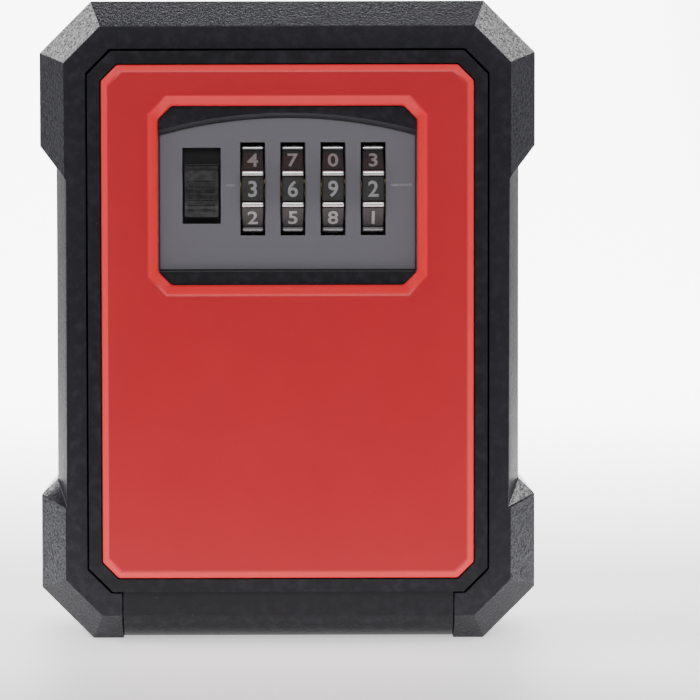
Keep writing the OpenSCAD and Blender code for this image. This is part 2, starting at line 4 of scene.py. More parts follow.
import bmesh
import bpy
from bpy.props import FloatProperty, FloatVectorProperty, PointerProperty
from mathutils import Matrix, Vector


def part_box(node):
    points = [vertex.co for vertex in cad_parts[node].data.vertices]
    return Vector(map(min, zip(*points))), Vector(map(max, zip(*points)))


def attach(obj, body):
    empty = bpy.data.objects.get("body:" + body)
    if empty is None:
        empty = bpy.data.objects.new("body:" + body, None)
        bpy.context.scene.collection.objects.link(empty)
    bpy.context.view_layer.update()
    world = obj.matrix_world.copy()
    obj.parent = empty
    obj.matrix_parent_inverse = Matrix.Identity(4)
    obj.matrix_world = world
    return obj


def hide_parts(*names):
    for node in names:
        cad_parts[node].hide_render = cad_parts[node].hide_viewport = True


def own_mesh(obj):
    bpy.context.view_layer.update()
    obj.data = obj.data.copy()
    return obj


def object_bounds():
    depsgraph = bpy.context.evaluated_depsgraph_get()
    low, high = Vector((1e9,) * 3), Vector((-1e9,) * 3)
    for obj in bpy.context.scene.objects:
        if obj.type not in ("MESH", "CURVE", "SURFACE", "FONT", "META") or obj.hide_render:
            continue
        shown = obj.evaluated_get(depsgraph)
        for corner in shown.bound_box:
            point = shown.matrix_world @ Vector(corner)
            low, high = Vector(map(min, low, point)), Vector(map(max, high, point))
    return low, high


bl_info = {
    "name": "Key lock box",
    "version": (1, 0, 0),
    "blender": (4, 5, 0),
    "location": "View3D > Sidebar > Lock Box",
    "description": "Meshes, finishes and stage for a key lock box, built round its packed frame",
    "category": "Object",
}

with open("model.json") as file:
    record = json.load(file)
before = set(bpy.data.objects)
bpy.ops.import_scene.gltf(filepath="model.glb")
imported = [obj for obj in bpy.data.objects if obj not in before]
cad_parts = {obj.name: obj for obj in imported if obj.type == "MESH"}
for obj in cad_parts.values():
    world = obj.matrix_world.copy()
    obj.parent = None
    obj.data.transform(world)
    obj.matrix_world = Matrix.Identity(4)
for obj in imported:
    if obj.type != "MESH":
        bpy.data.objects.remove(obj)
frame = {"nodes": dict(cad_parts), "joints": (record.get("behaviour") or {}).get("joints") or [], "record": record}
CAD_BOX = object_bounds()
MM = 0.001
JOINTS = {joint["name"]: joint for joint in frame["joints"]}
WHEELS = (1, 2, 3, 4)

# A number wheel: its ribs, the flats between them and its bore
RIB_TOP = 9.92 * MM
RIB_RADIUS = 0.62 * MM
FLAT_RADIUS = 9.12 * MM
BORE_RADIUS = 2.66 * MM
RIB_SWEEP = 112
RIB_FILLET = 0.18 * MM
WHEEL_CHAMFER = 0.35 * MM
DIGIT_RISE = 0.03 * MM

# The painted lines beside the dial slots: where they start and end, and how high they are
INDEX_LINES = ((19.3 * MM, 23.2 * MM), (-11.4 * MM, -9.9 * MM))
INDEX_LINE_HEIGHT = 0.44 * MM
INDEX_LINE_RISE = 0.7 * MM

# The dish of the thumb slide, behind the plate's front, and its ribs
DISH_RADIUS = 7.45 * MM
DISH_BACK = 7.3 * MM
DISH_LEVEL = 23.4 * MM
THUMB_RIB_RADIUS = 0.22 * MM
THUMB_RIB_HALF_WIDTH = 2.6 * MM


# ---- Settings --------------------------------------------------------------------


def colour(name, description, default):
    """A colour that the user can change."""
    return FloatVectorProperty(
        name=name, description=description, subtype="COLOR", size=3, min=0, max=1, default=default
    )


def length(name, description, default):
    """A length that the user can change, in metres."""
    return FloatProperty(
        name=name, description=description, default=default, min=0, unit="LENGTH", precision=5
    )


class CaseSettings(bpy.types.PropertyGroup):
    """Sizes and colours of the black case."""

    paint: colour("Paint", "Colour of the black castings", (0.0145, 0.0143, 0.0180))
    edge: length("Edge radius", "Rounding of the casting's edges", 0.28 * MM)
    grain: length("Grain", "Size of the spark-eroded grain", 0.50 * MM)
    grain_depth: length("Grain depth", "Depth of the spark-eroded grain", 0.17 * MM)


class DoorSettings(bpy.types.PropertyGroup):
    """Sizes and colours of the door and its red front."""

    red: colour("Red", "Colour of the front", (0.53, 0.006, 0.016))
    grey: colour("Grey", "Colour of the dial plate", (0.130, 0.123, 0.144))
    edge: length("Edge radius", "Rounding of the red front's edges", 0.42 * MM)


class LockSettings(bpy.types.PropertyGroup):
    """Sizes and colours of the wheels and the parts that turn and slide."""

    wheel: colour("Wheel", "Colour of the plated number wheels", (0.64, 0.63, 0.62))
    digit: colour("Digit", "Colour of the raised numbers", (0.36, 0.36, 0.37))
    digit_height: length("Digit height", "Height of the numbers", 3.0 * MM)
    brass: colour("Brass", "Colour of the code sleeves", (0.60, 0.42, 0.17))


class StageSettings(bpy.types.PropertyGroup):
    """Floor, light and camera."""

    floor: colour("Floor", "Colour of the floor and the backdrop", (0.93, 0.93, 0.935))
    distance: length("Distance", "From the camera to the case", 0.6)
    frame_width: length("Frame width", "What the picture's width covers at the case", 0.1318)
    elevation: FloatProperty(
        name="Elevation", description="Camera's height above the level", default=math.radians(2.6),
        unit="ROTATION",
    )


class BoxSettings(bpy.types.PropertyGroup):
    """All the settings of the lock box."""

    case: PointerProperty(type=CaseSettings)
    door: PointerProperty(type=DoorSettings)
    lock: PointerProperty(type=LockSettings)
    stage: PointerProperty(type=StageSettings)


def settings():
    """The lock box settings of the open scene."""
    return bpy.context.scene.lock_box


# ---- Finishes --------------------------------------------------------------------


class Channel:
    """A number that changes over a surface, used in sums like a plain number."""

    def __init__(self, finish, socket):
        self.finish = finish
        self.socket = socket

    def sum(self, operation, first, second):
        node = self.finish.node("ShaderNodeMath", {"operation": operation}, {0: first, 1: second})
        return Channel(self.finish, node.outputs[0])

    def __add__(self, other):
        return self.sum("ADD", self, other)

    def __radd__(self, other):
        return self.sum("ADD", other, self)

    def __sub__(self, other):
        return self.sum("SUBTRACT", self, other)

    def __rsub__(self, other):
        return self.sum("SUBTRACT", other, self)

    def __mul__(self, other):
        return self.sum("MULTIPLY", self, other)

    def __rmul__(self, other):
        return self.sum("MULTIPLY", other, self)

    def __pow__(self, other):
        return self.sum("POWER", self, other)

    def between(self, low, high):
        """0 where the channel is at low, 1 where it is at high, and held there beyond."""
        node = self.finish.node("ShaderNodeMapRange", {"clamp": True}, {0: self, 1: low, 2: high})
        return Channel(self.finish, node.outputs[0])


class Finish:
    """One material. Its textures are measured in millimetres on the part itself."""

    def __init__(self, name, **constants):
        self.material = bpy.data.materials.new(name)
        self.material.use_nodes = True
        self.tree = self.material.node_tree
        self.shader = self.tree.nodes["Principled BSDF"]
        for socket, value in constants.items():
            self.feed(self.shader.inputs[socket.replace("_", " ")], value)
        self.spot = self.node("ShaderNodeTexCoord")
        scaled = self.node(
            "ShaderNodeVectorMath", {"operation": "SCALE"},
            {0: self.spot.outputs["Object"], "Scale": 1 / MM},
        )
        self.place = scaled.outputs[0]

    def feed(self, socket, value):
        if isinstance(value, Channel):
            value = value.socket
        if isinstance(value, bpy.types.NodeSocket):
            self.tree.links.new(value, socket)
        else:
            socket.default_value = value

    def node(self, kind, choices=None, values=None):
        """A node of a kind, with its own settings first and then its sockets' values or links."""
        node = self.tree.nodes.new(kind)
        for name, choice in (choices or {}).items():
            setattr(node, name, choice)
        for socket, value in (values or {}).items():
            self.feed(node.inputs[socket], value)
        return node

    def stretched(self, stretch):
        if stretch == (1, 1, 1):
            return self.place
        node = self.node(
            "ShaderNodeVectorMath", {"operation": "MULTIPLY"}, {0: self.place, 1: stretch}
        )
        return node.outputs[0]

    def cloud(self, size, detail=2.0, roughness=0.5, stretch=(1, 1, 1)):
        """Soft noise whose lumps are size millimetres across, from 0 to 1."""
        node = self.node(
            "ShaderNodeTexNoise", {},
            {"Vector": self.stretched(stretch), "Scale": 1 / size, "Detail": detail,
             "Roughness": roughness},
        )
        return Channel(self, node.outputs["Fac"])

    def cells(self, size, feature="F1", stretch=(1, 1, 1)):
        """Distance from the nearest of many scattered points, size millimetres apart."""
        node = self.node(
            "ShaderNodeTexVoronoi", {"feature": feature},
            {"Vector": self.stretched(stretch), "Scale": 1 / size},
        )
        return Channel(self, node.outputs["Distance"])

    def specks(self, size, spread):
        """1 on round specks, size millimetres across and about spread millimetres apart."""
        return 1 - self.cells(spread).between(0.3 * size / spread, 0.5 * size / spread)

    def facing(self, axis, sign, low=0.90, high=0.99):
        """1 where the surface faces along an axis of the part, such as 1, -1 for the front."""
        parts = self.node("ShaderNodeSeparateXYZ", {}, {0: self.spot.outputs["Normal"]})
        return (Channel(self, parts.outputs[axis]) * sign).between(low, high)

    def along(self, axis):
        """Millimetres along an axis of the part."""
        parts = self.node("ShaderNodeSeparateXYZ", {}, {0: self.place})
        return Channel(self, parts.outputs[axis])

    def edges(self, low=0.505, high=0.54):
        """1 on the rounded outer edges."""
        node = self.node("ShaderNodeNewGeometry")
        return Channel(self, node.outputs["Pointiness"]).between(low, high)

    def mixed(self, factor, first, second):
        """A colour between two colours. Each is a plain colour or the result of a mix."""
        node = self.node(
            "ShaderNodeMix", {"data_type": "RGBA"},
            {0: factor, 6: rgba(first), 7: rgba(second)},
        )
        return node.outputs[2]

    def relief(self, height, depth, strength=1.0):
        """Bumps the surface by a height from 0 to 1, depth millimetres deep."""
        node = self.node(
            "ShaderNodeBump", {}, {"Height": height, "Distance": depth * MM, "Strength": strength}
        )
        self.feed(self.shader.inputs["Normal"], node.outputs[0])

    def paint(self, colour_socket, roughness):
        self.feed(self.shader.inputs["Base Color"], colour_socket)
        self.feed(self.shader.inputs["Roughness"], roughness)
        return self.material


def rgba(value):
    """A plain colour with alpha, or a socket as it is."""
    return value if isinstance(value, bpy.types.NodeSocket) else (*value, 1.0)


def shade(value, factor):
    """A plain colour made lighter or darker."""
    return tuple(min(1.0, part * factor) for part in value)


def black_casting(name, tone=1.0, grain_share=1.0):
    """Black casting with a spark-eroded grain, finer in front, glossier where it faces up. A painted sheen
    lightens its grain peaks except where it faces down or sideways, and its rounded edges carry edge wear with a
    painted highlight.
    """
    case = settings().case
    paint = shade(case.paint, tone)
    finish = Finish(name, Specular_IOR_Level=0.22, Coat_Roughness=0.24, Coat_IOR=1.6)
    size = case.grain / MM
    lumps = finish.cloud(size, detail=3.0, roughness=0.65)
    pits = finish.cells(size * 1.1)
    coarse = (1 - finish.facing(1, -1) * 0.85) * grain_share
    finish.relief((lumps * 0.75 + pits * 0.35) * coarse, case.grain_depth / MM)
    # worn is edge wear and a painted highlight: the rounded edges, broken up by a cloud.
    worn = finish.edges() * finish.cloud(1.8).between(0.45, 0.75)
    dusty = finish.cloud(9.0, detail=4.0)
    peaks = lumps.between(0.36, 0.72) * coarse
    # sideways and rubbed make the mask of a painted sheen, not of rubbing: 1 where the surface faces up or level,
    # low where it faces down, 0 where it faces sideways. The coat follows it too.
    sideways = finish.facing(0, 1, 0.85, 0.93) + finish.facing(0, -1, 0.85, 0.93)
    rubbed = (0.10 + finish.facing(2, 1, -0.7, -0.05) * 0.90) * (1 - sideways)
    finish.feed(finish.shader.inputs["Coat Weight"], peaks * rubbed)
    base = finish.mixed(dusty, shade(paint, 0.80), shade(paint, 1.20))
    # Painted sheen: the grain peaks are painted lighter where that mask is high, so faces turned down stay darker
    # as painted shade.
    base = finish.mixed(peaks * rubbed * 0.5, base, shade(paint, 4.0))
    base = finish.mixed(finish.specks(0.22, 4.5) * 0.35, base, (0.22, 0.22, 0.23))
    # Edge wear and painted highlight: lighter paint along the rounded edges.
    base = finish.mixed(worn * 0.25, base, shade(paint, 5.0))
    rough = 0.30 + (lumps - 0.5) * 0.30 * coarse + dusty * 0.05
    return finish.paint(base, rough)


def red_front():
    """Satin red moulding: fine grain, a few specks of dust and hairline scratches. Every face that does not face
    the front is painted brighter red, and its rounded edges pinkish, as painted highlights.
    """
    red = tuple(settings().door.red)
    finish = Finish("red_front", Specular_IOR_Level=0.35, Coat_Roughness=0.30, Coat_IOR=1.4)
    tone = finish.cloud(14.0, detail=5.0)
    fine = finish.cloud(0.16, detail=2.0)
    base = finish.mixed(tone, shade(red, 0.94), shade(red, 1.06))
    base = finish.mixed((fine.between(0.60, 0.80)) * 0.10, base, shade(red, 1.5))
    # Painted highlight: every face that does not face the front, such as the bevels and the window walls, is
    # painted brighter red.
    rim = 1 - finish.facing(1, -1)
    base = finish.mixed(rim * 0.85, base, (1.0, 0.026, 0.036))
    # Painted highlight: the rounded edges are painted pinkish.
    base = finish.mixed(finish.edges(0.51, 0.56) * 0.15, base, (1.0, 0.16, 0.15))
    scratch = finish.cells(7.0, stretch=(0.25, 1.0, 3.2)).between(0.012, 0.0)
    dust = finish.specks(0.20, 6.5)
    base = finish.mixed(scratch * 0.30 + dust * 0.25, base, (0.78, 0.33, 0.30))
    height = fine * 0.7 + finish.cloud(0.5) * 0.5 + scratch * -0.5
    finish.relief(height, 0.012)
    finish.feed(finish.shader.inputs["Coat Weight"], 0.10 + finish.cloud(5.0) * 0.15)
    rough = 0.42 + (finish.cloud(0.3) - 0.5) * 0.16 + (finish.cloud(11.0) - 0.5) * 0.10
    return finish.paint(base, rough)


def grey_plate():
    """Grey painted die-casting: a satin, faintly mottled skin on the front, with its rounded edges painted lighter
    as a painted highlight. Behind the front, on the slot walls and the lower step, it is painted black as painted
    shade.
    """
    grey = tuple(settings().door.grey)
    finish = Finish("grey_plate", Specular_IOR_Level=0.5)
    tone = finish.cloud(6.0, detail=4.0)
    fine = finish.cloud(0.20, detail=3.0)
    base = finish.mixed(tone, shade(grey, 0.90), shade(grey, 1.12))
    # Painted highlight: the rounded edges are painted lighter.
    base = finish.mixed(finish.edges(0.51, 0.56) * 0.4, base, shade(grey, 1.9))
    base = finish.mixed(finish.specks(0.35, 11.0) * 0.6, base, shade(grey, 0.35))
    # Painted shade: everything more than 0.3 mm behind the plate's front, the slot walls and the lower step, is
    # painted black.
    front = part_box("dial_plate")[0].y / MM
    behind = finish.along(1).between(front + 0.30, front + 0.50)
    base = finish.mixed(behind, base, (0.008, 0.008, 0.009))
    finish.relief(fine * 0.8 + finish.cloud(0.9) * 0.4, 0.014)
    rough = 0.40 + (fine - 0.5) * 0.16 + (tone - 0.5) * 0.12
    return finish.paint(base, rough)


def index_paint():
    """Thin light paint on the index lines."""
    finish = Finish("index_paint", Specular_IOR_Level=0.4)
    worn = finish.cloud(0.4, detail=3.0).between(0.35, 0.65)
    base = finish.mixed(worn, (0.18, 0.17, 0.19), (0.27, 0.26, 0.29))
    finish.relief(worn, 0.01)
    return finish.paint(base, 0.5 + worn * 0.1)


def plated_wheel():
    """Blackened wheel brushed round its rim, with dirt in its corners. Its ribs are painted bright as a painted
    highlight.
    """
    tint = tuple(settings().lock.wheel)
    axis = JOINTS["dial_turn_1"]["pos_m"]
    finish = Finish("plated_wheel", Metallic=1.0)
    deep = finish.along(1) - axis[1] / MM
    high = finish.along(2) - axis[2] / MM
    radius = (deep * deep + high * high) ** 0.5
    lines = finish.cloud(0.10, detail=2.0, stretch=(1.0, 0.12, 0.12))
    grime = finish.cloud(0.8, detail=4.0, roughness=0.7)
    # rib marks the ribs: their colour is painted bright as a painted highlight, and they are also made smoother.
    rib = radius.between(FLAT_RADIUS / MM + 0.48, RIB_TOP / MM - 0.05)
    base = finish.mixed(grime, shade(tint, 0.08), shade(tint, 0.16))
    base = finish.mixed(rib, base, shade(tint, 1.25))
    base = finish.mixed((1 - rib) * grime.between(0.5, 0.8) * 0.5, base, shade(tint, 0.12))
    finish.relief(lines * 0.6 + grime * 0.4, 0.010)
    rough = 0.34 + (lines - 0.5) * 0.14 - rib * 0.10 + grime * 0.08
    return finish.paint(base, rough)


def digit_enamel():
    """Bright tops of the raised numbers, rubbed thin in places."""
    tint = tuple(settings().lock.digit)
    finish = Finish("digit_enamel", Metallic=0.6)
    rubbed = finish.cloud(0.35, detail=3.0).between(0.50, 0.75)
    base = finish.mixed(rubbed, tint, shade(tint, 0.6))
    finish.relief(finish.cloud(0.2), 0.008)
    return finish.paint(base, 0.36 + rubbed * 0.25)


def black_moulding():
    """Moulded black plastic of the thumb slide."""
    finish = Finish("black_moulding", Specular_IOR_Level=0.25)
    fine = finish.cloud(0.18, detail=3.0)
    rubbed = finish.edges(0.51, 0.57) * finish.cloud(1.0).between(0.35, 0.7)
    base = finish.mixed(fine, (0.006, 0.006, 0.007), (0.014, 0.014, 0.015))
    base = finish.mixed(rubbed * 0.5, base, (0.06, 0.06, 0.062))
    finish.relief(fine, 0.015)
    return finish.paint(base, 0.42 + (fine - 0.5) * 0.2)


def zinc_casting():
    """Bare zinc die-casting: cloudy, with flow marks and dulled patches."""
    finish = Finish("zinc_casting", Metallic=0.85)
    flow = finish.cloud(7.0, detail=5.0, stretch=(1.0, 1.0, 0.35))
    fine = finish.cloud(0.35, detail=3.0)
    base = finish.mixed(flow, (0.33, 0.34, 0.36), (0.50, 0.51, 0.53))
    base = finish.mixed(finish.edges() * 0.5, base, (0.72, 0.72, 0.74))
    base = finish.mixed(finish.specks(0.5, 8.0) * 0.5, base, (0.16, 0.16, 0.16))
    finish.relief(fine * 0.7 + flow * 0.5, 0.03)
    return finish.paint(base, 0.44 + (flow - 0.5) * 0.25 + (fine - 0.5) * 0.12)


def zinc_sheet():
    """Rolled and zinc-plated sheet steel with a bluish bloom."""
    finish = Finish("zinc_sheet", Metallic=1.0)
    rolled = finish.cloud(0.22, detail=2.0, stretch=(1.0, 1.0, 0.06))
    bloom = finish.cloud(4.0, detail=4.0)
    base = finish.mixed(bloom, (0.50, 0.52, 0.56), (0.64, 0.63, 0.58))
    base = finish.mixed(finish.edges() * 0.6, base, (0.80, 0.80, 0.80))
    finish.relief(rolled * 0.6 + bloom * 0.3, 0.012)
    return finish.paint(base, 0.32 + (rolled - 0.5) * 0.18 + bloom * 0.10)


def plated_steel():
    """Plated steel of the screws and rivets, painted dark in its hollows as painted shade."""
    finish = Finish("plated_steel", Metallic=1.0)
    haze = finish.cloud(0.9, detail=4.0)
    base = finish.mixed(haze, (0.48, 0.49, 0.52), (0.66, 0.66, 0.64))
    # Painted shade: the hollows, such as the cross recesses, are painted dark.
    base = finish.mixed(1 - finish.edges(0.42, 0.50), base, (0.16, 0.16, 0.17))
    finish.relief(finish.cloud(0.15, detail=2.0), 0.010)
    return finish.paint(base, 0.27 + haze * 0.16)


def spring_wire():
    """Bright drawn spring steel with fine draw marks."""
    finish = Finish("spring_wire", Metallic=1.0)
    marks = finish.cloud(0.14, detail=2.0, stretch=(0.15, 1.0, 1.0))
    stain = finish.cloud(2.5, detail=4.0)
    base = finish.mixed(stain, (0.44, 0.44, 0.45), (0.60, 0.59, 0.57))
    finish.relief(marks, 0.008)
    return finish.paint(base, 0.22 + (marks - 0.5) * 0.12 + stain * 0.10)


def turned_brass():
    """Turned brass of the code sleeves."""
    brass = tuple(settings().lock.brass)
    finish = Finish("turned_brass", Metallic=1.0)
    rings = finish.cloud(0.12, detail=2.0, stretch=(3.0, 0.2, 0.2))
    tarnish = finish.cloud(2.2, detail=4.0)
    base = finish.mixed(tarnish, shade(brass, 0.8), shade(brass, 1.15))
    base = finish.mixed(finish.edges() * 0.4, base, (0.85, 0.68, 0.36))
    finish.relief(rings, 0.010)
    return finish.paint(base, 0.27 + (rings - 0.5) * 0.14 + tarnish * 0.12)


def seal_rubber():
    """Matt black rubber with a dusting of talc."""
    finish = Finish("seal_rubber", Specular_IOR_Level=0.3)
    dust = finish.cloud(1.2, detail=5.0).between(0.45, 0.85)
    base = finish.mixed(dust, (0.012, 0.012, 0.012), (0.05, 0.05, 0.05))
    finish.relief(finish.cloud(0.3, detail=3.0), 0.03)
    return finish.paint(base, 0.72 + dust * 0.15)


def floor_paper():
    """Pale seamless floor with a faint tooth. It glows as painted light, brightly behind the box and faintly from
    a little in front of it backwards, and far in front of the box it is painted darker as painted shade.
    """
    floor = tuple(settings().stage.floor)
    finish = Finish("floor_paper", Specular_IOR_Level=0.25, Emission_Strength=7.0)
    tooth = finish.cloud(0.8, detail=3.0)
    deep = finish.along(1)
    across = finish.along(0)
    base = finish.mixed(finish.cloud(60.0, detail=2.0), shade(floor, 0.99), shade(floor, 1.01))
    beside = 1 - (across * across).between(170.0 ** 2, 280.0 ** 2)
    # Painted shade: the floor from 110 mm in front of the box onwards, across the middle, is painted darker.
    base = finish.mixed(deep.between(-330.0, -110.0) * beside, shade(floor, 0.28), base)
    # Painted light: the floor glows fully behind the box and faintly from 130 mm in front of it backwards.
    behind = deep.between(60.0, 600.0)
    lit = deep.between(-130.0, -60.0)
    glow = finish.mixed(behind * beside, finish.mixed(lit, (0.0, 0.0, 0.0), (0.11, 0.11, 0.11)),
                        (1.0, 1.0, 1.0))
    finish.feed(finish.shader.inputs["Emission Color"], glow)
    finish.relief(tooth, 0.02)
    return finish.paint(base, 0.55 + (tooth - 0.5) * 0.1)


FINISHES = {
    "case_black": lambda: black_casting("case_black"),
    "door_black": lambda: black_casting("door_black", 0.8, 0.45),
    "red_front": red_front,
    "grey_plate": grey_plate,
    "index_paint": index_paint,
    "plated_wheel": plated_wheel,
    "digit_enamel": digit_enamel,
    "black_moulding": black_moulding,
    "zinc_casting": zinc_casting,
    "zinc_sheet": zinc_sheet,
    "plated_steel": plated_steel,
    "spring_wire": spring_wire,
    "turned_brass": turned_brass,
    "seal_rubber": seal_rubber,
    "floor_paper": floor_paper,
}


def finish_named(name):
    """The material of that name, made the first time that it is asked for."""
    return bpy.data.materials.get(name) or FINISHES[name]()


# ---- Mesh tools ------------------------------------------------------------------


def body_of_node(node):
    """The body that a CAD node rides on."""
    bodies = frame["record"]["behaviour"]["bodies"]
    return next(body for body, nodes in bodies.items() if node in nodes)


def piece(name, mesh, finish, node, replace=True, weighted=True):
    """A shown piece that rides where a CAD node rides and, if asked, stands for it."""
    obj = bpy.data.objects.new(name, mesh)
    bpy.context.scene.collection.objects.link(obj)
    mesh.materials.clear()
    mesh.materials.append(finish_named(finish))
    for face in mesh.polygons:
        face.use_smooth = True
    if weighted:
        modifier = obj.modifiers.new("even_normals", "WEIGHTED_NORMAL")
        modifier.keep_sharp = True
    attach(obj, body_of_node(node))
    if replace:
        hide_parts(node)
    return obj


def mesh_from(bm, name, sharp=40):
    """Turns a bmesh into a mesh, with edges sharper than so many degrees kept sharp."""
    bmesh.ops.recalc_face_normals(bm, faces=bm.faces)
    for edge in bm.edges:
        edge.smooth = edge.calc_face_angle(0) < math.radians(sharp)
    mesh = bpy.data.meshes.new(name)
    bm.to_mesh(mesh)
    bm.free()
    return mesh


def cad_bmesh(node):
    """A CAD node's mesh, welded, with its flat faces made whole again."""
    bm = bmesh.new()
    bm.from_mesh(frame["nodes"][node].data)
    bmesh.ops.remove_doubles(bm, verts=bm.verts, dist=0.002 * MM)
    bmesh.ops.dissolve_limit(
        bm, angle_limit=math.radians(0.4), verts=bm.verts, edges=bm.edges
    )
    return bm


def rounded(bm, radius, segments=2, angle=28, shortest=0.6):
    """Rounds every edge of a bmesh that is sharper than the angle and not very short."""
    picked = [
        edge for edge in bm.edges
        if edge.is_manifold
        and edge.calc_face_angle(0) > math.radians(angle)
        and edge.calc_length() > shortest * MM
    ]
    bmesh.ops.bevel(
        bm, geom=picked, offset=radius, segments=segments, profile=0.5, affect="EDGES",
        clamp_overlap=True, loop_slide=True,
    )
    bmesh.ops.remove_doubles(bm, verts=bm.verts, dist=0.001 * MM)
    return bm


def rounded_node(node, finish, radius, segments=2, angle=28, shortest=0.6):
    """A CAD node's own shape with its edges rounded."""
    bm = rounded(cad_bmesh(node), radius, segments, angle, shortest)
    return piece(node + "_shape", mesh_from(bm, node + "_shape"), finish, node)


def solids_in(node):
    """The boxes of the separate solids in a CAD node, as (lowest, highest) corners."""
    bm = bmesh.new()
    bm.from_mesh(frame["nodes"][node].data)
    bmesh.ops.remove_doubles(bm, verts=bm.verts, dist=0.002 * MM)
    boxes, seen = [], set()
    for start in bm.verts:
        if start in seen:
            continue
        group, queue = [], [start]
        seen.add(start)
        while queue:
            vert = queue.pop()
            group.append(vert.co.copy())
            for edge in vert.link_edges:
                other = edge.other_vert(vert)
                if other not in seen:
                    seen.add(other)
                    queue.append(other)
        low = Vector(min(co[i] for co in group) for i in range(3))
        high = Vector(max(co[i] for co in group) for i in range(3))
        boxes.append((low, high))
    bm.free()
    return sorted(boxes, key=lambda box: tuple(round(v, 6) for v in box[0]))


def lathe(bm, profile, turns=40):
    """Turns a profile of (radius, height) points about Z and adds it to a bmesh."""
    rings = []
    for radius, height in profile:
        if radius == 0:
            rings.append([bm.verts.new((0, 0, height))])
            continue
        rings.append([
            bm.verts.new((
                radius * math.cos(2 * math.pi * i / turns),
                radius * math.sin(2 * math.pi * i / turns),
                height,
            ))
            for i in range(turns)
        ])
    for first, second in zip(rings, rings[1:]):
        for i in range(turns):
            j = (i + 1) % turns
            corners = [first[i % len(first)], first[j % len(first)],
                       second[j % len(second)], second[i % len(second)]]
            unique = list(dict.fromkeys(corners))
            if len(unique) > 2:
                bm.faces.new(unique)
    return bm


def cut_by(mesh, cutter, name):
    """A mesh with another mesh taken out of it."""
    objects = [bpy.data.objects.new(name + str(i), m) for i, m in enumerate((mesh, cutter))]
    for obj in objects:
        bpy.context.scene.collection.objects.link(obj)
    modifier = objects[0].modifiers.new("cut", "BOOLEAN")
    modifier.operation = "DIFFERENCE"
    modifier.solver = "EXACT"
    modifier.use_self = True
    modifier.object = objects[1]
    bpy.context.view_layer.update()
    evaluated = objects[0].evaluated_get(bpy.context.evaluated_depsgraph_get())
    result = bpy.data.meshes.new_from_object(evaluated)
    for obj in objects:
        bpy.data.objects.remove(obj)
    return result


def extruded(bm, outline, x0, x1):
    """Adds a bar along X with an outline of (y, z) points."""
    ends = [[bm.verts.new((x, y, z)) for y, z in outline] for x in (x0, x1)]
    bm.faces.new(ends[0])
    bm.faces.new(list(reversed(ends[1])))
    count = len(outline)
    for i in range(count):
        j = (i + 1) % count
        bm.faces.new([ends[0][j], ends[0][i], ends[1][i], ends[1][j]])
    return bm


def arc(centre, radius, start, end, steps):
    """Points on an arc, as (across, up), with its angles in degrees."""
    return [
        (centre[0] + radius * math.cos(math.radians(start + (end - start) * i / steps)),
         centre[1] + radius * math.sin(math.radians(start + (end - start) * i / steps)))
        for i in range(steps + 1)
    ]


# ---- Fasteners and springs --------------------------------------------------------


def pan_head(head_radius, head_height, shank_radius, shank_length):
    """One pan-head screw with a cross recess, its head's underside at z = 0, pointing down."""
    r, h, s = head_radius, head_height, shank_radius
    dome = [(r * math.cos(math.radians(a)), h * 0.35 + h * 0.65 * math.sin(math.radians(a)))
            for a in range(0, 90, 12)]
    pitch = 0.55 * MM
    threads = []
    for i in range(int(shank_length / pitch)):
        z = -0.25 * MM - i * pitch
        threads += [(s, z), (s * 0.86, z - pitch * 0.45)]
    profile = [(0, h)] + dome[::-1] + [(r, 0.0), (s, 0.0)] + threads + [(0, -shank_length)]
    body = mesh_from(lathe(bmesh.new(), profile), "screw_body")
    cutter = bmesh.new()
    for turn in (0, math.pi / 2):
        slot = bmesh.ops.create_cube(cutter, size=1.0)["verts"]
        for vert in slot:
            taper = 0.62 if vert.co.z < 0 else 1.0
            vert.co.x *= r * 1.15 * taper
            vert.co.y *= r * 0.26 * taper
            vert.co.z = h * 1.4 if vert.co.z > 0 else h * 0.30
        bmesh.ops.rotate(cutter, verts=slot, matrix=Matrix.Rotation(turn, 3, "Z"))
    return cut_by(body, mesh_from(cutter, "screw_recess"), "screw")


def rivet_head(head_radius, head_height, shank_radius, shank_length):
    """One domed rivet, its head's underside at z = 0, pointing down."""
    r, h, s = head_radius, head_height, shank_radius
    dome = [(r * math.cos(math.radians(a)), h * math.sin(math.radians(a)))
            for a in range(0, 90, 10)]
    profile = [(0, h)] + dome[::-1] + [(s, 0.0), (s, -shank_length), (0, -shank_length)]
    return mesh_from(lathe(bmesh.new(), profile), "rivet_body")


def fasteners(node, maker, finish, head_share, turn=23):
    """Puts a screw or a rivet in place of every solid of a CAD node. Their heads face +Y."""
    bm = bmesh.new()
    for index, (low, high) in enumerate(solids_in(node)):
        radius = (high.x - low.x) / 2
        head = (high.y - low.y) * head_share
        one = maker(radius * 0.99, head * 0.98, radius * 0.47, (high.y - low.y) - head)
        spot = Vector(((low.x + high.x) / 2, high.y - head, (low.z + high.z) / 2))
        facing = Matrix.Rotation(-math.pi / 2, 4, "X")
        spin = Matrix.Rotation(math.radians(turn + 37 * index), 4, "Z")
        one.transform(Matrix.Translation(spot) @ facing @ spin)
        bm.from_mesh(one)
        bpy.data.meshes.remove(one)
    return piece(node + "_shape", mesh_from(bm, node + "_shape", 30), finish, node, weighted=False)


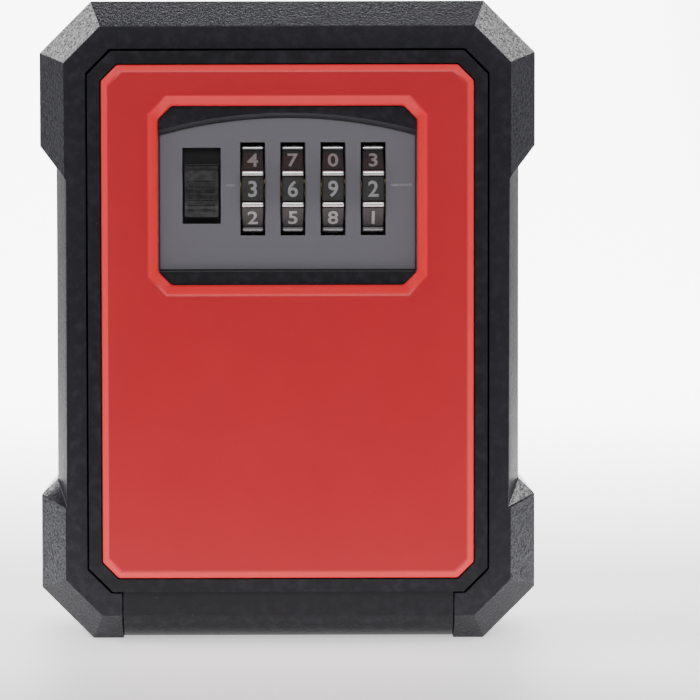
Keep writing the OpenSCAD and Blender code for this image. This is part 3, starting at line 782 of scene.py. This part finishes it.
def wire_coil(bm, start, axis, coil_length, radius, wire, turns, closed=0.8):
    """Adds a compression spring with closed ends, from start along axis."""
    side = axis.orthogonal().normalized()
    other = axis.cross(side)
    steps, sides = int(turns * 28), 12
    rings = []
    for i in range(steps + 1):
        t = i / steps * turns
        middle = turns - 2 * closed
        open_part = min(max(t - closed, 0.0), middle)
        flat = (t - open_part) * wire * 2.02
        free = coil_length - wire * 2 - 2 * closed * wire * 2.02
        rise = wire + flat + free * open_part / middle
        angle = 2 * math.pi * t
        out = side * math.cos(angle) + other * math.sin(angle)
        centre = start + axis * rise + out * radius
        rings.append([
            bm.verts.new(centre + (out * math.cos(b) + axis * math.sin(b)) * wire)
            for b in (2 * math.pi * k / sides for k in range(sides))
        ])
    for first, second in zip(rings, rings[1:]):
        for k in range(sides):
            n = (k + 1) % sides
            bm.faces.new([first[k], first[n], second[n], second[k]])
    bm.faces.new(rings[0])
    bm.faces.new(rings[-1])
    return bm


# ---- Number wheels ----------------------------------------------------------------


def wheel_outline(numbers=10):
    """Points round a wheel, as (across, up): flats with a rounded rib between each two."""
    points = []
    for k in range(numbers):
        middle = 360 / numbers * (k + 0.5)
        half = math.pi / numbers
        local = arc((RIB_TOP - RIB_RADIUS, 0.0), RIB_RADIUS, -RIB_SWEEP, RIB_SWEEP, 10)
        foot = RIB_RADIUS * math.sin(math.radians(RIB_SWEEP)) + RIB_FILLET
        reach = FLAT_RADIUS * math.tan(half)
        steps = (reach - foot, reach * 0.5)
        before = [turned((FLAT_RADIUS, step), -half) for step in reversed(steps)]
        after = [turned((FLAT_RADIUS, -step), half) for step in steps]
        for point in before + local + after:
            points.append(turned(point, math.radians(middle)))
    return points


def turned(point, angle):
    """A point turned about the origin."""
    x, y = point
    c, s = math.cos(angle), math.sin(angle)
    return (c * x - s * y, s * x + c * y)


def wheel_mesh(name, low, high, centre):
    """A number wheel with soft side edges and a bore, as wide as its CAD node."""
    outline = wheel_outline()
    chamfer = WHEEL_CHAMFER
    nip = chamfer * 0.3
    # Each layer is (where along the axis, its fixed radius or None, how far in it is)
    layers = [
        (low.x, BORE_RADIUS, 0.0), (low.x, None, chamfer), (low.x + nip, None, nip),
        (low.x + chamfer, None, 0.0), (high.x - chamfer, None, 0.0),
        (high.x - nip, None, nip), (high.x, None, chamfer), (high.x, BORE_RADIUS, 0.0),
    ]
    bm = bmesh.new()
    rings = []
    for x, fixed, inset in layers:
        ring = []
        for y, z in outline:
            radius = math.hypot(y, z)
            scale = (fixed or radius - inset) / radius
            ring.append(bm.verts.new((x, centre.y - y * scale, centre.z + z * scale)))
        rings.append(ring)
    count = len(outline)
    for first, second in zip(rings, rings[1:] + rings[:1]):
        for i in range(count):
            j = (i + 1) % count
            bm.faces.new([first[i], first[j], second[j], second[i]])
    return mesh_from(bm, name, 32)


def digit_mesh(text, height, depth):
    """A numeral as a solid, centred on the origin, facing +Z."""
    curve = bpy.data.curves.new("numeral", "FONT")
    curve.body = text
    curve.size = height * 1.38
    curve.extrude = depth
    curve.bevel_depth = 0.02 * MM
    curve.offset = 0.05 * MM
    curve.align_x = "CENTER"
    curve.align_y = "CENTER"
    curve.resolution_u = 4
    obj = bpy.data.objects.new("numeral", curve)
    bpy.context.scene.collection.objects.link(obj)
    bpy.context.view_layer.update()
    evaluated = obj.evaluated_get(bpy.context.evaluated_depsgraph_get())
    mesh = bpy.data.meshes.new_from_object(evaluated)
    bpy.data.objects.remove(obj)
    xs = [v.co.x for v in mesh.vertices]
    ys = [v.co.y for v in mesh.vertices]
    mesh.transform(Matrix.Translation((-(min(xs) + max(xs)) / 2, -(min(ys) + max(ys)) / 2, 0)))
    return mesh


def wheel_digits(name, centre, apothem, height, first):
    """The ten numerals of one wheel. The numeral first faces the front."""
    bm = bmesh.new()
    upright = Matrix.Rotation(math.pi / 2, 4, "X")
    for k in range(10):
        mesh = digit_mesh(str((first + k) % 10), height, DIGIT_RISE)
        out = Matrix.Translation((0, -apothem, 0)) @ upright
        turn = Matrix.Rotation(-math.radians(36) * k, 4, "X")
        mesh.transform(Matrix.Translation(centre) @ turn @ out)
        bm.from_mesh(mesh)
        bpy.data.meshes.remove(mesh)
    return mesh_from(bm, name, 30)


# ---- Operators ---------------------------------------------------------------------


class LOCKBOX_OT_case(bpy.types.Operator):
    """Makes the black outer case, the inner case and the door seal"""

    bl_idname = "lockbox.case"
    bl_label = "Case"

    def execute(self, context):
        edge = settings().case.edge
        rounded_node("outer_case", "case_black", edge, segments=3, shortest=1.2)
        rounded_node("inner_case", "zinc_casting", edge * 0.5, shortest=1.0)
        rounded_node("door_seal", "seal_rubber", 0.22 * MM, segments=3)
        return {"FINISHED"}


class LOCKBOX_OT_case_fittings(bpy.types.Operator):
    """Makes the hinge pin, the striker, the key hooks and the case's screws and rivets"""

    bl_idname = "lockbox.case_fittings"
    bl_label = "Case fittings"

    def execute(self, context):
        rounded_node("hinge_pin", "spring_wire", 0.25 * MM, shortest=0.1)
        rounded_node("striker", "zinc_sheet", 0.22 * MM)
        rounded_node("key_hooks", "zinc_sheet", 0.20 * MM)
        fasteners("case_screws", pan_head, "plated_steel", 0.13)
        fasteners("striker_screws", pan_head, "plated_steel", 0.34)
        fasteners("hook_rivets", rivet_head, "plated_steel", 0.22)
        return {"FINISHED"}


class LOCKBOX_OT_door(bpy.types.Operator):
    """Makes the door's black frame with its hinge barrel, and the red front"""

    bl_idname = "lockbox.door"
    bl_label = "Door"

    def execute(self, context):
        door = settings().door
        rounded_node("door_frame", "door_black", 0.30 * MM, segments=3, shortest=0.8)
        rounded_node("face_plate", "red_front", door.edge, segments=3)
        return {"FINISHED"}


class LOCKBOX_OT_dial_plate(bpy.types.Operator):
    """Makes the arched grey plate with its slots and index lines"""

    bl_idname = "lockbox.dial_plate"
    bl_label = "Dial plate"

    def execute(self, context):
        rounded_node("dial_plate", "grey_plate", 0.22 * MM, segments=3, shortest=0.4)
        self.index_lines()
        return {"FINISHED"}

    def index_lines(self):
        """Two thin painted lines on the plate, level with the numbers to be read."""
        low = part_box("dial_plate")[0]
        level = JOINTS["dial_turn_1"]["pos_m"][2] + INDEX_LINE_RISE
        half = INDEX_LINE_HEIGHT / 2
        front, back = low.y - 0.02 * MM, low.y + 0.05 * MM
        outline = [(front, level - half), (front, level + half), (back, level + half),
                   (back, level - half)]
        bm = bmesh.new()
        for start, end in INDEX_LINES:
            extruded(bm, outline, start, end)
        mesh = mesh_from(bm, "index_lines")
        piece("index_lines", mesh, "index_paint", "dial_plate", replace=False)


class LOCKBOX_OT_number_wheels(bpy.types.Operator):
    """Makes the four number wheels and their numerals"""

    bl_idname = "lockbox.number_wheels"
    bl_label = "Number wheels"

    def execute(self, context):
        lock = settings().lock
        for index in WHEELS:
            node = f"number_wheel_{index}"
            low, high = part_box(node)
            centre = Vector(JOINTS[f"dial_turn_{index}"]["pos_m"])
            mesh = wheel_mesh(f"wheel_{index}_rim", low, high, centre)
            piece(f"wheel_{index}_rim", mesh, "plated_wheel", node)
            digits = wheel_digits(
                f"wheel_{index}_digits", centre, FLAT_RADIUS, lock.digit_height, (3 * index) % 10
            )
            piece(f"wheel_{index}_digits", digits, "digit_enamel", node, replace=False,
                  weighted=False)
        return {"FINISHED"}


class LOCKBOX_OT_code_train(bpy.types.Operator):
    """Makes the code sleeves, the spindle, its clips, the reset lever and its spring"""

    bl_idname = "lockbox.code_train"
    bl_label = "Code sleeves and spindle"

    def execute(self, context):
        for index in WHEELS:
            rounded_node(f"code_sleeve_{index}", "turned_brass", 0.10 * MM, shortest=0.2)
        rounded_node("spindle", "spring_wire", 0.10 * MM, shortest=0.2)
        rounded_node("retaining_clips", "spring_wire", 0.08 * MM, shortest=0.2)
        rounded_node("reset_lever", "zinc_sheet", 0.18 * MM)
        low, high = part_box("spindle_spring")
        bm = wire_coil(
            bmesh.new(), Vector((low.x, (low.y + high.y) / 2, (low.z + high.z) / 2)),
            Vector((1, 0, 0)), high.x - low.x, 2.4 * MM, 0.28 * MM, 4.5,
        )
        spring = piece("spindle_spring_wire", mesh_from(bm, "spindle_spring_wire"), "spring_wire",
                       "spindle_spring", weighted=False)
        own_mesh(spring)
        return {"FINISHED"}


class LOCKBOX_OT_lock_case(bpy.types.Operator):
    """Makes the lock housing, the inner cover, their screws and the detent comb"""

    bl_idname = "lockbox.lock_case"
    bl_label = "Lock housing"

    def execute(self, context):
        rounded_node("lock_housing", "zinc_casting", 0.20 * MM, shortest=0.8)
        rounded_node("inner_cover", "zinc_sheet", 0.20 * MM)
        rounded_node("detent_comb", "spring_wire", 0.06 * MM, shortest=0.3)
        fasteners("housing_screws", pan_head, "plated_steel", 0.27)
        fasteners("cover_screws", pan_head, "plated_steel", 0.138)
        return {"FINISHED"}


class LOCKBOX_OT_latch(bpy.types.Operator):
    """Makes the latch plate, the thumb slide, its rivets and the return springs"""

    bl_idname = "lockbox.latch"
    bl_label = "Latch"

    def execute(self, context):
        rounded_node("latch_plate", "zinc_sheet", 0.15 * MM)
        rounded_node("thumb_slide", "black_moulding", 0.25 * MM, segments=3)
        self.thumb_ribs()
        fasteners("slide_rivets", rivet_head, "plated_steel", 0.2)
        for index, (low, high) in enumerate(solids_in("latch_springs"), start=1):
            bm = wire_coil(
                bmesh.new(), Vector(((low.x + high.x) / 2, (low.y + high.y) / 2, low.z)),
                Vector((0, 0, 1)), high.z - low.z, 1.6 * MM, 0.25 * MM, 8,
            )
            name = f"latch_spring_{index}"
            spring = piece(name, mesh_from(bm, name), "spring_wire", "latch_springs",
                           weighted=False)
            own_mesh(spring)
        return {"FINISHED"}

    def thumb_ribs(self):
        """Fine ribs across the dish of the thumb slide."""
        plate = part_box("dial_plate")[0]
        low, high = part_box("thumb_slide")
        middle = (low.x + high.x) / 2
        left, right = middle - THUMB_RIB_HALF_WIDTH, middle + THUMB_RIB_HALF_WIDTH
        bm = bmesh.new()
        for angle in range(-20, 21, 8):
            out = turned((DISH_RADIUS, 0.0), math.radians(angle))
            centre = (plate.y - DISH_BACK + out[0], DISH_LEVEL + out[1])
            extruded(bm, arc(centre, THUMB_RIB_RADIUS, 0, 330, 11), left, right)
        piece("thumb_ribs", mesh_from(bm, "thumb_ribs"), "black_moulding", "thumb_slide",
              replace=False)


class LOCKBOX_OT_stage(bpy.types.Operator):
    """Makes the pale floor, the soft lights and the camera"""

    bl_idname = "lockbox.stage"
    bl_label = "Stage"

    def execute(self, context):
        stage = settings().stage
        low, high = CAD_BOX
        self.seamless_floor(low.z)
        self.lights(low, high)
        self.camera(stage, low, high)
        return {"FINISHED"}

    def seamless_floor(self, level):
        """Floor that sweeps up into the backdrop."""
        profile = [(-1.6, 0.0), (0.5, 0.0)] + [
            (0.5 + y, z) for y, z in arc((0.0, 0.5), 0.5, -90, 0, 16)
        ] + [(1.0, 2.2)]
        bm = bmesh.new()
        rows = [[bm.verts.new((x, y, z + level)) for y, z in profile] for x in (-2.2, 2.2)]
        for i in range(len(profile) - 1):
            bm.faces.new([rows[0][i], rows[1][i], rows[1][i + 1], rows[0][i + 1]])
        mesh = mesh_from(bm, "seamless_floor")
        for face in mesh.polygons:
            face.use_smooth = True
        mesh.materials.append(finish_named("floor_paper"))
        floor = bpy.data.objects.new("seamless_floor", mesh)
        bpy.context.scene.collection.objects.link(floor)

    def lights(self, low, high):
        """Three soft boxes, over the front and either side, and even light all round."""
        centre = (low + high) / 2
        boxes = [
            ("top_box", (0.0, -0.86, 0.60), (0.70, 0.50), 5.2),
            ("left_box", (-0.62, 0.03, 0.53), (0.32, 0.32), 13.5),
            ("right_box", (0.60, 0.03, 0.58), (0.30, 0.30), 11.0),
        ]
        for name, spot, size, brightness in boxes:
            data = bpy.data.lights.new(name, "AREA")
            data.shape = "RECTANGLE"
            data.size, data.size_y = size
            data.energy = brightness * math.pi * size[0] * size[1]
            light = bpy.data.objects.new(name, data)
            bpy.context.scene.collection.objects.link(light)
            light.location = centre + Vector(spot)
            light.rotation_euler = (centre - light.location).to_track_quat("-Z", "Y").to_euler()
        world = bpy.data.worlds.new("studio")
        world.use_nodes = True
        world.node_tree.nodes["Background"].inputs[0].default_value = (1.0, 1.0, 1.0, 1.0)
        world.node_tree.nodes["Background"].inputs[1].default_value = 0.20
        bpy.context.scene.world = world

    def camera(self, stage, low, high):
        """A long lens just above the level, with the box left of the middle."""
        data = bpy.data.cameras.new("camera")
        data.sensor_width = 36.0
        data.lens = data.sensor_width * stage.distance / stage.frame_width
        data.shift_x = 0.0893
        data.shift_y = -0.0420
        data.clip_end = 20.0
        camera = bpy.data.objects.new("camera", data)
        bpy.context.scene.collection.objects.link(camera)
        tilt = stage.elevation
        target = Vector((0, low.y + 7.5 * MM, 0))
        camera.location = target + Vector((0, -math.cos(tilt), math.sin(tilt))) * stage.distance
        camera.rotation_euler = (math.pi / 2 - tilt, math.radians(0.12), 0)
        bpy.context.scene.camera = camera


class LOCKBOX_PT_panel(bpy.types.Panel):
    """Lists the steps that make the lock box"""

    bl_label = "Lock Box"
    bl_idname = "LOCKBOX_PT_panel"
    bl_space_type = "VIEW_3D"
    bl_region_type = "UI"
    bl_category = "Lock Box"

    def draw(self, context):
        box = context.scene.lock_box
        for group in (box.case, box.door, box.lock, box.stage):
            column = self.layout.column(align=True)
            for name in group.__annotations__:
                column.prop(group, name)
        for step in STEPS:
            self.layout.operator(step.bl_idname)


STEPS = (
    LOCKBOX_OT_stage,
    LOCKBOX_OT_case,
    LOCKBOX_OT_case_fittings,
    LOCKBOX_OT_door,
    LOCKBOX_OT_dial_plate,
    LOCKBOX_OT_number_wheels,
    LOCKBOX_OT_code_train,
    LOCKBOX_OT_lock_case,
    LOCKBOX_OT_latch,
)
CLASSES = (CaseSettings, DoorSettings, LockSettings, StageSettings, BoxSettings) + STEPS + (
    LOCKBOX_PT_panel,
)


def register():
    for each in CLASSES:
        bpy.utils.register_class(each)
    bpy.types.Scene.lock_box = PointerProperty(type=BoxSettings)


def unregister():
    del bpy.types.Scene.lock_box
    for each in reversed(CLASSES):
        bpy.utils.unregister_class(each)


def main():
    register()
    for step in STEPS:
        group, name = step.bl_idname.split(".")
        getattr(getattr(bpy.ops, group), name)()


if __name__ == "__main__":
    main()
